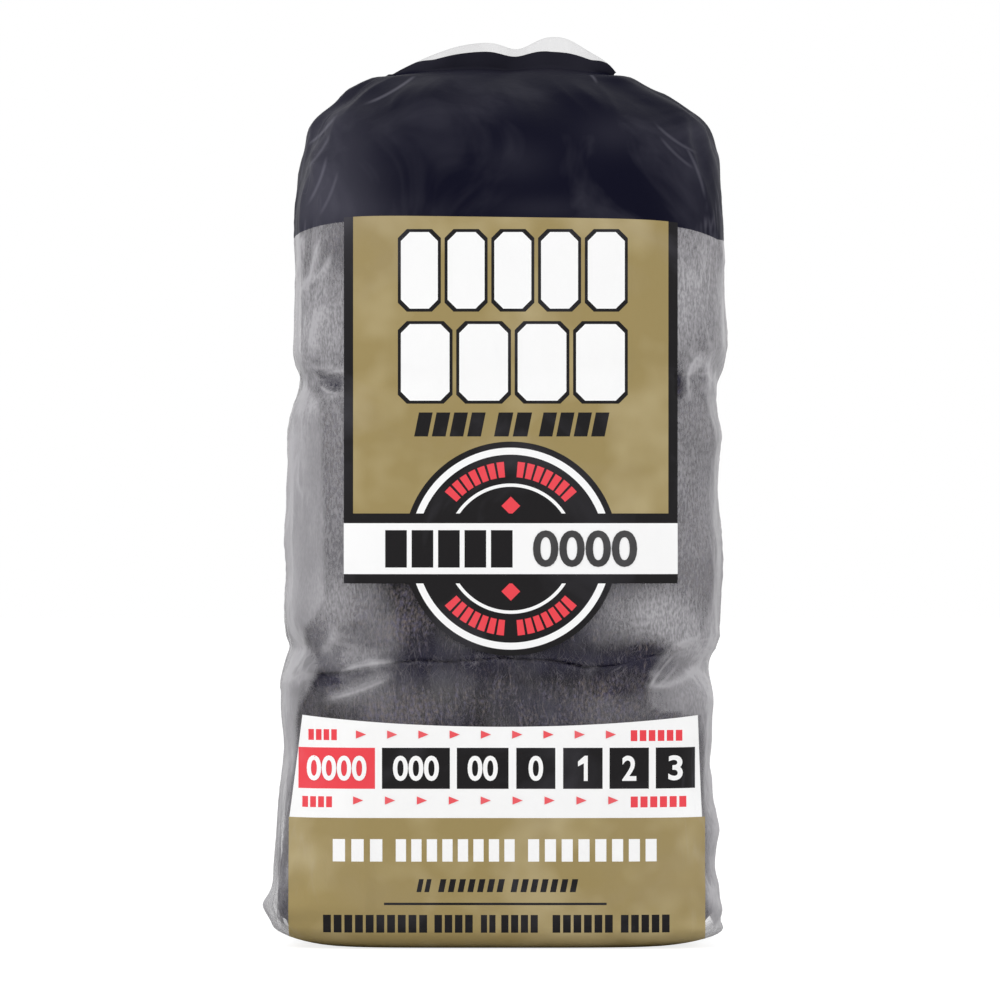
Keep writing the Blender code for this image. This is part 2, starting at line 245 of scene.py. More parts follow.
def folds(angle, z, points):
    """How far the film stands out from the smooth bag at each point, and where it forms crests and valleys."""
    c, s = np.cos(angle), np.sin(angle)
    side, front = np.abs(c), np.clip(-s, 0, 1)
    x = points[:, 0]
    corner = hump(np.abs(s) - 0.55, 0.22) * (side > 0.5)
    risen = ease(z / BASE_ROUND_HEIGHT)
    out = 3.2 * MM * corner * hump(np.maximum(z - 11 * MM, 0), 23 * MM) * risen
    out += 2.6 * MM * corner * hump(z - 10 * MM, 3.7 * MM) * (c < 0) * (s < 0)
    for i, crease in enumerate(CREASES):
        middle = crease + 2 * MM * np.sin(2 * angle + 3 * i)
        strength = (0.12 + 0.7 * corner + 0.3 * side) * (0.85 + 0.25 * np.cos(angle + 2.5 * i + 2))
        out -= 2.6 * MM * strength * hump(z - middle, CREASE_WIDTH)
    loose = 1 + np.sin(4 * angle + 60 * z) * np.sin(3 * angle - 95 * z + 1)
    out += 0.5 * MM * loose * ease(z / BASE_ROUND_HEIGHT - 1) * (0.3 + 0.7 * side)
    for sign, height, half, reach in OUTLINE_BULGES:
        out += reach * MM * hump(z - height * MM, half * MM) * ease((sign * c - 0.55) / 0.3)

    crests = np.zeros(len(x))
    for (x0, z0), (x1, z1), bow, width, rise in FRONT_FOLDS:
        run = np.array([x1 - x0, z1 - z0]) * MM
        length = np.hypot(*run)
        dx, dz = x - x0 * MM, z - z0 * MM
        along = (dx * run[0] + dz * run[1]) / length**2
        across = (dz * run[0] - dx * run[1]) / length
        across -= bow * MM * 4 * along * (1 - along)
        taper = ease(along / 0.3 + 0.35) * ease((1 - along) / 0.3 + 0.35)
        shape = taper * hump(across, width * MM) * ease(front / 0.35)
        out += rise * MM * shape
        crests += np.sign(rise) * shape

    # Fine crumpling: upright on the sides, level where the tiers meet, least over the printed panel
    quiet = ease((41 * MM - np.abs(x - 2 * MM)) / (4 * MM)) * front
    rough = (1 - 0.85 * quiet) * risen
    near_crease = sum(hump(z - crease, 9 * MM) for crease in CREASES)
    upright = 1 - 2 * np.abs(field(points, (75, 75, 22), 3.1))
    level = 1 - 2 * np.abs(field(points, (38, 38, 120), 7.7))
    small = 1 - 2 * np.abs(field(points, (190, 190, 90), 1.3))
    out += rough * MM * (0.55 * np.clip(upright, 0, 1) ** 3 - 0.12)
    out += rough * MM * near_crease * 0.6 * np.clip(level, 0, 1) ** 3
    out += rough * MM * 0.16 * np.clip(small, 0, 1) ** 2

    # Gathers that run up to the seal
    up = ease((z - SHOULDER_BOTTOM) / SHOULDER_HEIGHT)
    near_seal = ease((NECK_HEIGHT - z) / SEAL_HEIGHT)
    out += 1.4 * MM * up * near_seal * (1 + np.cos(13 * angle + 1.0))
    gather = 1 - 2 * np.abs(field(np.stack([c, s, z * 8], 1), (5.2, 5.2, 1.0), 4.4))
    out += 1.3 * MM * up**2 * near_seal * np.clip(gather, 0, 1) ** 2
    return out, crests


LINE_REACH = 3.0


def line_channels():
    """Parts the sharp lines into sets in which no two lines come close to each other."""
    channels = [([], []) for _ in range(3)]
    for line in SHARP_LINES:
        (x0, z0), (x1, z1) = line[:2]
        run = np.linspace(0, 1, 9)[:, None]
        places = np.array([x0, z0]) * (1 - run) + np.array([x1, z1]) * run
        for lines, taken in channels:
            gaps = [np.linalg.norm(places[:, None] - other[None], axis=2).min() for other in taken]
            if all(gap > 2 * LINE_REACH + 1 for gap in gaps) or taken is channels[-1][1]:
                lines.append(line)
                taken.append(places)
                break
    return [lines for lines, _ in channels]


def line_fields(x, z):
    """Signed distance in mm to the nearest sharp line and that line's strength, for each set of lines."""
    fields = []
    for lines in line_channels():
        distance, strength = np.full(len(x), 9.0), np.zeros(len(x))
        for (x0, z0), (x1, z1), bow, amount in lines:
            run = np.array([x1 - x0, z1 - z0])
            length = np.hypot(*run)
            along = ((x - x0) * run[0] + (z - z0) * run[1]) / length**2
            across = ((z - z0) * run[0] - (x - x0) * run[1]) / length
            across -= bow * 4 * along * (1 - along)
            closer = (np.abs(across) < np.abs(distance)) & (along > -0.1) & (along < 1.1)
            taper = ease(along * 4) * ease((1 - along) * 4) * (np.abs(across) < LINE_REACH)
            distance = np.where(closer, across, distance)
            strength = np.where(closer, amount * taper, strength)
        fields.append((distance, strength))
    return fields


def film_points(angle, z):
    """Places on the film, each place's distance down from the seal's edge, and its haze."""
    half_width, half_depth, square = ring_size(z)
    x, y = ring_point(angle, half_width, half_depth, square)
    smooth = np.stack([x + centre_x(z), y, z], 1)
    out, crests = folds(angle, z, smooth)
    x = x + out * np.cos(angle)
    y = y + out * np.sin(angle)
    seam = np.abs(x)
    shoulder = ease((NECK_HEIGHT - z) / SHOULDER_HEIGHT)
    y = y + np.where(y > 0, 0.7 * MM * ease((6.5 * MM - seam) / (1.2 * MM)) * shoulder, 0)
    t = ease((z - SHOULDER_BOTTOM) / (BAG_HEIGHT - SHOULDER_BOTTOM)) * (z > SHOULDER_BOTTOM)
    along = x / (SEAL_WIDTH / 2)
    lift = seal_drop(np.clip(x, -SEAL_WIDTH / 2, SEAL_WIDTH / 2))
    over_neck = z - NECK_HEIGHT + SEAL_DROOP_HEIGHT
    fin = np.clip(over_neck / (SEAL_HEIGHT + SEAL_DROOP_HEIGHT), 0, 1)
    drawn = ease(over_neck / (3 * MM))
    y = y + 2.2 * MM * t**3 * np.sin(4.2 * along + 0.5) + fin * 0.5 * MM * np.sin(13 * along)
    ink_edge = BAG_HEIGHT - z
    z = z - fin * lift
    x = x + SEAL_SHIFT * fin
    x = x - drawn * MM * 1.6 * ease((-along - 0.6) / 0.4)
    ink_edge = ink_edge - clear_margin(x)
    points = np.stack([centre_x(z) + x, y, z], 1)
    return points, ink_edge, milkiness(points, crests)


# Milky patches and clear patches of the front film: middle (x, z), half sizes in mm, and strength
PATCHES = (
    (-42.0, 163.0, 11.0, 26.0, 0.52),
    (-44.5, 152.0, 6.0, 8.0, 0.18),
    (-41.0, 171.0, 4.0, 6.0, -0.16),
    (46.0, 164.0, 10.0, 24.0, 0.72),
    (46.5, 150.0, 3.0, 5.0, -0.10),
    (-42.0, 112.0, 9.0, 34.0, 0.38),
    (46.0, 110.0, 9.0, 32.0, 0.50),
    (-42.0, 84.0, 12.0, 8.0, 0.30),
    (-29.0, 80.0, 4.5, 6.0, 0.12),
    (-22.0, 84.0, 5.0, 14.0, -0.16),
    (33.0, 82.0, 10.0, 7.0, 0.50),
    (41.0, 82.0, 7.0, 6.0, 0.36),
    (44.0, 76.0, 7.0, 7.0, 0.26),
    (-37.0, 71.5, 9.0, 3.5, 0.34),
    (-36.0, 62.5, 9.0, 3.0, 0.18),
    (47.0, 62.0, 7.0, 7.0, 0.22),
    (50.0, 24.0, 6.0, 18.0, 0.14),
    (0.0, 71.0, 26.0, 7.0, -0.06),
    (16.0, 62.0, 16.0, 5.0, 0.06),
    (-41.0, 139.0, 4.5, 2.2, -0.06),
    (42.5, 139.0, 2.4, 5.0, -0.34),
    (31.0, 67.0, 7.0, 4.0, -0.16),
    (-49.0, 132.0, 5.0, 9.0, 0.20),
)

# Inner edge of the loose strips beside the wool: height and x in mm
LEFT_STRIP = ((0, -51), (56, -51), (60, -49.9), (64, -47.4), (67, -45.7), (70, -45.0), (73, -46.7), (75, -48.6),
              (79, -48.6), (83, -45.4), (86, -44.0), (94, -43.7), (127, -44.5), (135, -45.4), (139, -48.6),
              (142, -50.0), (185, -50.5))
RIGHT_STRIP = ((0, 51), (57, 49.0), (59, 36.5), (64, 35.5), (68, 38.0), (72, 41.0), (75, 44.5), (78, 49.0),
               (84, 51.0), (100, 53.5), (185, 54.5))

# Milky clouds over the header's ink, partly film haze and partly painted highlight, as the patches above
HEADER_MIST_AND_SHEEN = (
    (-41.0, 192.0, 10.0, 22.0, 1.0),
    (-36.0, 181.0, 14.0, 5.0, 0.5),
    (-6.0, 208.0, 10.0, 4.0, 0.40),
    (4.0, 194.0, 8.0, 5.0, 0.30),
    (28.0, 201.0, 9.0, 5.0, 0.40),
    (47.0, 186.0, 5.0, 14.0, 0.35),
    (10.0, 182.0, 12.0, 3.0, 0.35),
)


def spots(x, z, table):
    total = np.zeros(len(x))
    for px, pz, wide, high, strength in table:
        total += strength * np.exp(-(((x - px) / wide) ** 2) - ((z - pz) / high) ** 2)
    return total


def milkiness(points, crests):
    """Shares of even haze, where the film stands off the wool, and of grainy haze, where it lies near it, with painted
    highlight on fold crests and painted shade in fold valleys and along the tier creases.
    """
    x, y, z = points.T / MM
    front = ease((-y - 12) / 10)
    left = ease((np.interp(z, *zip(*LEFT_STRIP)) - x) / 1.6 + 0.4)
    right = ease((x - np.interp(z, *zip(*RIGHT_STRIP))) / 1.6 + 0.4)
    cloud = field(points, (34, 34, 30), 5.5)
    blotch = field(points, (85, 85, 60), 2.2)
    loose = left * (0.37 + 0.18 * ease((132 - z) / 6) * ease((z - 62) / 6)) + 0.26 * right
    even = loose * front * (1 + 0.3 * cloud + 0.2 * blotch)
    # Painted highlight along fold crests and painted shade in fold valleys, partly the doubled film's haze
    even += 0.36 * np.clip(crests, 0, 1) - 0.26 * np.clip(-crests, 0, 1)
    grainy = 0.09 + spots(x, z, PATCHES) * front * (1 - 0.7 * left * ease((134 - z) / 6)) + 0.13 * (1 - front)
    grainy += (0.13 + 0.17 * (1 - front)) * cloud + 0.12 * blotch
    # Painted shade: the haze thins along the tier creases so they read darker
    for crease in CREASES:
        grainy -= 0.08 * hump(points[:, 2] - crease, 3.0 * MM)
    top = ease((z - 205) / 5)
    even *= 1 - 0.6 * ease((46 - z) / 8) * (x < 0)
    return np.clip(even, -0.3, 0.7) + 0.2 * top, np.clip(grainy, 0.02, 0.8) * (1 - top)


def film_rows():
    """Heights of the rows, and how far each of the base's own rows is drawn in to its middle."""
    base = [(0.0, share) for share in np.linspace(0.06, 1.0, 13)[:-1]]
    rounding = [BASE_ROUND_HEIGHT * (1 - math.cos(a)) for a in np.linspace(0, math.pi / 2, 12)]
    body = np.arange(rounding[-1] + 0.85 * MM, SHOULDER_BOTTOM + 4 * MM, 0.86 * MM)
    top = NECK_HEIGHT - body[-1]
    shoulder = [body[-1] + top * math.sin(a) for a in np.linspace(0, math.pi / 2, 46)[1:]]
    fin = [NECK_HEIGHT + SEAL_HEIGHT * k / 7 for k in range(1, 8)]
    return base + [(h, 1.0) for h in [*rounding, *body, *shoulder, *fin]]


def new_piece(name, verts, faces, smooth=True):
    mesh = bpy.data.meshes.new(name)
    mesh.from_pydata([tuple(v) for v in verts], [], faces)
    mesh.validate()
    mesh.polygons.foreach_set("use_smooth", [smooth] * len(mesh.polygons))
    obj = bpy.data.objects.new(name, mesh)
    bpy.context.scene.collection.objects.link(obj)
    return obj


def add_values(mesh, name, values):
    layer = mesh.attributes.new(name, "FLOAT", "POINT")
    layer.data.foreach_set("value", np.asarray(values, np.float32))


FILM_COLUMNS = 336


def make_film():
    angles = even_angles(FILM_COLUMNS)
    rows = film_rows()
    verts, ink_edges, hazes = [], [], []
    for z, share in rows:
        points, ink_edge, haze = film_points(angles, np.full(FILM_COLUMNS, z))
        middle = np.array([TIER_CENTRES[0], 0, 0])
        points = middle + (points - middle) * [share, share, 1]
        verts.append(points)
        ink_edges.append(ink_edge)
        hazes.append(haze)
    verts = np.concatenate(verts)
    verts[:, 2] = np.maximum(verts[:, 2], 0)
    faces = [list(range(FILM_COLUMNS))[::-1]]
    for r in range(len(rows) - 1):
        for c in range(FILM_COLUMNS):
            d = (c + 1) % FILM_COLUMNS
            a, b = r * FILM_COLUMNS, (r + 1) * FILM_COLUMNS
            faces.append((a + c, a + d, b + d, b + c))
    top = (len(rows) - 1) * FILM_COLUMNS
    half = FILM_COLUMNS // 2
    for c in range(half):
        left, right = top + c, top + (FILM_COLUMNS - c) % FILM_COLUMNS
        left2, right2 = top + c + 1, top + FILM_COLUMNS - c - 1
        ring = [left, left2, right2, right]
        faces.append(tuple(dict.fromkeys(ring)))
    film = new_piece("film", verts, faces)
    add_values(film.data, "ink_edge", np.concatenate(ink_edges))
    for name, row_values in zip(("haze", "frost"), zip(*hazes)):
        add_values(film.data, name, np.concatenate(row_values))
    facing_front = verts[:, 1] < -10 * MM
    for k, (distance, strength) in enumerate(line_fields(verts[:, 0] / MM, verts[:, 2] / MM)):
        add_values(film.data, f"line_{k}", distance)
        add_values(film.data, f"strength_{k}", strength * facing_front)
    # Header patches of film haze and painted highlight
    add_values(film.data, "mist_and_sheen", spots(verts[:, 0] / MM, verts[:, 2] / MM, HEADER_MIST_AND_SHEEN) * (verts[:, 1] < 0))
    return film


# Wool pads

PAD_GRID = 46
PAD_INSET = 0.0006
FILM_CLEARANCE = 0.0003
LEFT_SLACK = 0.0016
RIGHT_SLACK = 0.0002
MOST_SPREAD = 0.0030
PAD_CELL = 0.0015
STRAND_WIDTH = 0.00010
FRONT_STRANDS = 1650
OTHER_STRANDS = 420
JOINT_STRANDS = 390


def block_grid():
    """The surface of a cube from -1 to 1, cut into a grid."""
    bm = bmesh.new()
    bmesh.ops.create_cube(bm, size=2.0)
    bmesh.ops.subdivide_edges(bm, edges=bm.edges, cuts=PAD_GRID - 1, use_grid_fill=True)
    places = np.array([v.co[:] for v in bm.verts])
    faces = [tuple(v.index for v in f.verts) for f in bm.faces]
    bm.free()
    return places, faces


def inside_bag(points, middle, half_height):
    """Which points lie inside the film, with a pad's rounded upper and lower edge taken off."""
    wall = 0.7 * MM
    half_width, half_depth, square = ring_size(np.where(points[:, 2] < BASE_ROUND_HEIGHT, points[:, 2] - wall, points[:, 2]))
    into = np.clip(np.abs(points[:, 2] - middle) - (half_height - PAD_EDGE_RADIUS), 0, PAD_EDGE_RADIUS)
    wall = wall + PAD_EDGE_RADIUS - np.sqrt(PAD_EDGE_RADIUS**2 - into**2)
    room = np.minimum(half_width, half_depth) > wall
    x = np.abs(points[:, 0] - centre_x(points[:, 2])) / np.maximum(half_width - wall, 1e-6)
    y = np.abs(points[:, 1]) / np.maximum(half_depth - wall, 1e-6)
    return room & (x**square + y**square < 1)


# How the line where two tiers meet wanders: x and rise in mm, for the lower and the upper joint
JOINT_LINES = (
    ((-55, -3.0), (-46, -3.2), (-38, -3.0), (-30, -1.0), (-20, 0.2), (-12, -0.4), (0, 0.8), (12, 0.2), (22, -1.6),
     (30, -1.0), (38, 1.5), (46, 2.0), (55, 1.0)),
    ((-55, -0.4), (-46, 0.4), (-38, 0.8), (-20, -0.6), (5, 0.9), (25, -0.8), (38, 0.0), (43, 1.0), (55, 1.3)),
)


def joint_wave(x, joint):
    places, rises = zip(*JOINT_LINES[joint])
    return MM * np.interp(x / MM, places, rises)


def wool_surface(places, tier, layer):
    """A pad's points, the outward direction there, and the fibres' own coordinates across and along them."""
    low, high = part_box(f"wool_pad_{tier + 1}_{layer + 1}")
    wide_low, wide_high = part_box(f"wool_pad_{tier + 1}_2")
    centre = np.array([(wide_low.x + wide_high.x) / 2, (low.y + high.y) / 2, (wide_low.z + wide_high.z) / 2])
    half = np.array([BAG_WIDTH / 2 - 0.9 * MM, (high.y - low.y) / 2 + 0.5 * MM, (wide_high.z - wide_low.z) / 2 + 0.95 * MM])
    flat = 0.8
    over = np.clip((np.abs(places) - flat) / (1 - flat), 0, 1)
    core = np.sign(places) * np.minimum(np.abs(places) / flat, 1) * (half - PAD_EDGE_RADIUS)
    rest = np.sign(places) * np.tan(over * math.pi / 4)
    outward = rest / np.linalg.norm(rest, axis=1)[:, None]
    local = core + outward * PAD_EDGE_RADIUS
    high_share = np.ones(len(local))
    low_share = np.zeros(len(local))
    free = inside_bag(centre + local, centre[2], half[2])
    for _ in range(20):
        share = (low_share + high_share) / 2
        ok = inside_bag(centre + local * share[:, None], centre[2], half[2])
        low_share = np.where(ok, share, low_share)
        high_share = np.where(ok, high_share, share)
    local = np.where(free[:, None], local, local * low_share[:, None])

    # The tiers meet along a wavy line
    level = np.clip(local[:, 2] / half[2], -1, 1)
    if tier < 2:
        local[:, 2] += joint_wave(local[:, 0], tier) * ease(level * 2 - 1)
    if tier > 0:
        local[:, 2] += joint_wave(local[:, 0], tier - 1) * ease(-level * 2 - 1)

    # The strip is rolled up about the X axis: it runs up the front, over the top and down the back
    reach = np.clip(np.abs(local[:, 2]) - (half[2] - half[1]), 0, None)
    turn = np.arctan2(reach, np.abs(local[:, 1]) + 1e-6)
    along = np.sign(local[:, 2]) * (np.minimum(np.abs(local[:, 2]), half[2] - half[1]) + half[1] * turn)
    depth = np.clip(half[1] - np.hypot(local[:, 1], reach), 0, None)
    across = local[:, 0] + np.sign(local[:, 0]) * depth
    end = ease((np.abs(places[:, 0]) - 0.9) / 0.1)
    return centre + local, outward, across, along, depth, end


ROD_STEPS = 5
ROD_SIDES = (0.0, 2.094, 4.189)
ROD_FACES = [(2, 1, 0), tuple(3 * ROD_STEPS + k for k in range(3))]
for step in range(ROD_STEPS):
    for k in range(3):
        ROD_FACES.append((3 * step + k, 3 * step + (k + 1) % 3, 3 * step + 3 + (k + 1) % 3, 3 * step + 3 + k))


def min_gap(heights, marks):
    return np.min([np.abs(heights - mark) for mark in marks], axis=0)


def add_strands(surface, points, outward, across_dir, count, seed, sway=0.28):
    """Corners of loose fibres that lie on the pads, each a thin three-sided rod bent along its length."""
    pick = random.Random(seed)
    rods = []
    for _ in range(count):
        k = pick.randrange(len(points))
        p, n = Vector(points[k]), Vector(outward[k])
        side = Vector(across_dir[k])
        run = n.cross(side).normalized()
        if run.z < 0:
            run = -run
        run = (run + side * pick.gauss(0, sway)).normalized()
        length = pick.uniform(2, 7) * MM
        bow = pick.gauss(0, 0.8) * MM
        lift = pick.uniform(0.05, 0.18) * MM
        width = STRAND_WIDTH * pick.uniform(0.6, 1.2)
        rod = []
        for i in range(ROD_STEPS + 1):
            t = i / ROD_STEPS
            bend = 4 * t * (1 - t)
            middle = p + run * length * (t - 0.5) + side * bow * bend
            under, normal = surface.find_nearest(middle)[:2]
            middle = under + normal * lift * (0.3 + 0.7 * bend)
            rod += [middle + (side * math.cos(a) + n * math.sin(a)) * width / 2 for a in ROD_SIDES]
        rods.append(rod)
    return rods


def make_pad(tier, layer, grid, faces, film_tree, wool):
    points, outward, across, along, depth, end = wool_surface(grid, tier, layer)
    seed = 10 * tier + layer
    coarse = field(np.stack([across * 160, along * 22, np.full(len(across), seed * 3.7)], 1), 1.0)
    fine = field(np.stack([across * 620, along * 45, np.full(len(across), seed * 5.1)], 1), 1.0)
    lumps = field(np.stack([across * 40, along * 35, np.full(len(across), seed * 1.9)], 1), 1.0)
    rise = 0.28 * MM * coarse + 0.16 * MM * fine + 0.3 * MM * lumps
    rise += end * 0.45 * MM * np.cos(depth / (3.1 * MM) * 2 * math.pi + 2 * lumps)
    rise -= end * 0.5 * MM * hump(depth, 1.2 * MM)
    verts = points + outward * (np.minimum(rise, 0.3 * MM) - PAD_INSET)[:, None]
    for k in range(len(verts)):
        vert = Vector(verts[k])
        place, normal = film_tree.find_nearest(vert)[:2]
        room = normal.dot(place - vert) - FILM_CLEARANCE
        if room < 1.5 * MM:
            side = Vector((-normal.y, normal.x, 0)).normalized() * PAD_CELL
            up = Vector((0, 0, PAD_CELL))
            for step in (side, -side, up, -up):
                beside, leaning = film_tree.find_nearest(vert + step)[:2]
                room = min(room, leaning.dot(beside - vert - step) - FILM_CLEARANCE)
        slack = RIGHT_SLACK if verts[k][0] > 0 else LEFT_SLACK
        if room < 0:
            verts[k] += np.array(normal) * room
        elif outward[k][0] * np.sign(verts[k][0]) > 0.3 and room > slack:
            spread = min(room - slack, MOST_SPREAD) * ease((verts[k][2] - 5 * MM) / (5 * MM))
            verts[k] += np.array(normal) * spread
    name = f"wool_{tier + 1}_{layer + 1}"
    pad = new_piece(name, verts, faces)
    add_values(pad.data, "across", across)
    add_values(pad.data, "along", along + 0.31 * seed)
    pad.data.materials.append(wool)
    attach(pad, "root")
    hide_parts(f"wool_pad_{tier + 1}_{layer + 1}")

    return pad, verts, outward


def make_fibres(tier, layer, verts, outward, surface, fibre):
    """Fibres where they can be seen: on the outer pads' faces, on every pad's ends, and across the joints."""
    seed = 10 * tier + layer
    face_out = -1 if layer == 0 else 1
    seen = (np.abs(outward[:, 0]) > 0.5)
    if layer in (0, 3):
        seen |= outward[:, 1] * face_out > 0.5
    where = np.nonzero(seen)[0]
    side = np.zeros((len(verts), 3))
    side[:, 0] = 1
    ends = np.abs(outward[:, 0]) > 0.7
    radial = verts - verts.mean(0)
    radial[:, 0] = 0
    radial /= np.linalg.norm(radial, axis=1)[:, None] + 1e-9
    side[ends] = radial[ends]
    count = FRONT_STRANDS if layer in (0, 3) else OTHER_STRANDS
    rods = add_strands(surface, verts[where], outward[where], side[where], count, seed)
    if layer in (0, 3):
        joint = seen & (np.abs(outward[:, 1]) > 0.3)
        joint &= min_gap(verts[:, 2], CREASES) < 4.5 * MM
        where = np.nonzero(joint)[0]
        rods += add_strands(surface, verts[where], outward[where], side[where], JOINT_STRANDS, seed + 100, 1.0)
    corners, faces = [], []
    for rod in rods:
        faces += [tuple(len(corners) + k for k in face) for face in ROD_FACES]
        corners += rod
    strands = new_piece(f"fibres_{tier + 1}_{layer + 1}", corners, faces)
    strands.data.materials.append(fibre)
    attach(strands, "root")


# Materials


class Graph:
    """Short calls for building one material's nodes."""

    def __init__(self, name):
        self.material = bpy.data.materials.new(name)
        self.material.use_nodes = True
        self.tree = self.material.node_tree
        self.shader = self.tree.nodes["Principled BSDF"]
        self.output = self.tree.nodes["Material Output"]

    def put(self, socket, value):
        if isinstance(value, bpy.types.NodeSocket):
            self.tree.links.new(value, socket)
        else:
            socket.default_value = value

    def node(self, kind, inputs=None, **settings):
        made = self.tree.nodes.new(kind)
        for key, value in settings.items():
            setattr(made, key, value)
        for key, value in (inputs or {}).items():
            self.put(made.inputs[key], value)
        return made

    def math(self, operation, *values):
        made = self.node("ShaderNodeMath", dict(enumerate(values)), operation=operation)
        return made.outputs[0]

    def all_of(self, *masks):
        result = masks[0]
        for mask in masks[1:]:
            result = self.math("MULTIPLY", result, mask)
        return result

    def any_of(self, *masks):
        result = masks[0]
        for mask in masks[1:]:
            result = self.math("MAXIMUM", result, mask)
        return result

    def near(self, value, middle, half):
        return self.math("COMPARE", value, middle, half)

    def between(self, value, low, high):
        return self.near(value, (low + high) / 2, (high - low) / 2)

    def mix(self, share, first, second):
        made = self.node("ShaderNodeMix", data_type="RGBA")
        self.put(made.inputs["Factor"], share)
        self.put(made.inputs["A"], first)
        self.put(made.inputs["B"], second)
        return made.outputs["Result"]

    def ramp(self, value, low, high, to_low=0.0, to_high=1.0):
        made = self.node("ShaderNodeMapRange", {"Value": value, "From Min": low, "From Max": high})
        made.inputs["To Min"].default_value = to_low
        made.inputs["To Max"].default_value = to_high
        return made.outputs["Result"]

    def noise(self, vector, scale, detail=3.0, roughness=0.55):
        inputs = {"Vector": vector, "Scale": scale, "Detail": detail, "Roughness": roughness}
        return self.node("ShaderNodeTexNoise", inputs).outputs["Fac"]

    def stretch(self, vector, x, y, z):
        inputs = {0: vector, 1: (x, y, z)}
        return self.node("ShaderNodeVectorMath", inputs, operation="MULTIPLY").outputs[0]


NAVY = (0.0040, 0.0040, 0.0125, 1)
# Lighter copy of the navy for the upright seal fin: painted light, evening it with the brighter-lit shoulder below
FIN_NAVY_PAINTED_LIGHT = (0.0165, 0.0160, 0.0250, 1)
GOLD = (0.330, 0.255, 0.110, 1)
PALE_GOLD = (0.43, 0.350, 0.185, 1)
WHITE = (0.93, 0.93, 0.93, 1)
BLACK = (0.017, 0.016, 0.017, 1)
RED = (0.83, 0.070, 0.088, 1)
MILK = (0.415, 0.405, 0.425, 1)

# Print, in mm from the middle of the base: label panel, badge, scale strip and lower band
LABEL_X, LABEL_HALF = 1.95, 41.05
LABEL_LOW, BAND_LOW, BAND_HIGH, PANEL_LOW, PANEL_HIGH = 90.0, 92.3, 104.8, 107.2, 181.5
FRAME_BAR = 2.3
RULE = 2.4
BADGE_Z = 98.55
BADGE_RINGS = ((26.3, "black"), (24.8, "white"), (23.1, "black"), (16.0, "white"), (15.2, "black"))
BLOCK_ROWS = ((166.9, 5, 28.7), (144.3, 4, 28.7))
BLOCK_HALF_HEIGHT = 9.9
SCALE_Z, SCALE_HALF = 44.6, 5.05
SCALE_BOXES = (
    ("0000", -50.4, -31.4), ("000", -29.7, -13.0), ("00", -11.3, 1.4), ("0", 3.3, 12.9),
    ("1", 14.8, 24.5), ("2", 26.2, 35.9), ("3", 37.6, 47.4),
)
SCALE_WORDS = ((-47.9, -40.8, 52.8), (31.4, 44.2, 52.6), (-49.4, -42.0, 36.3), (31.4, 45.2, 36.3))
ARROW_ROWS = ((52.9, -34.9, 26.5), (36.7, -35.6, 27.1))
ARROW_COUNT = 9
LOWER_BAND_TOP = 32.4


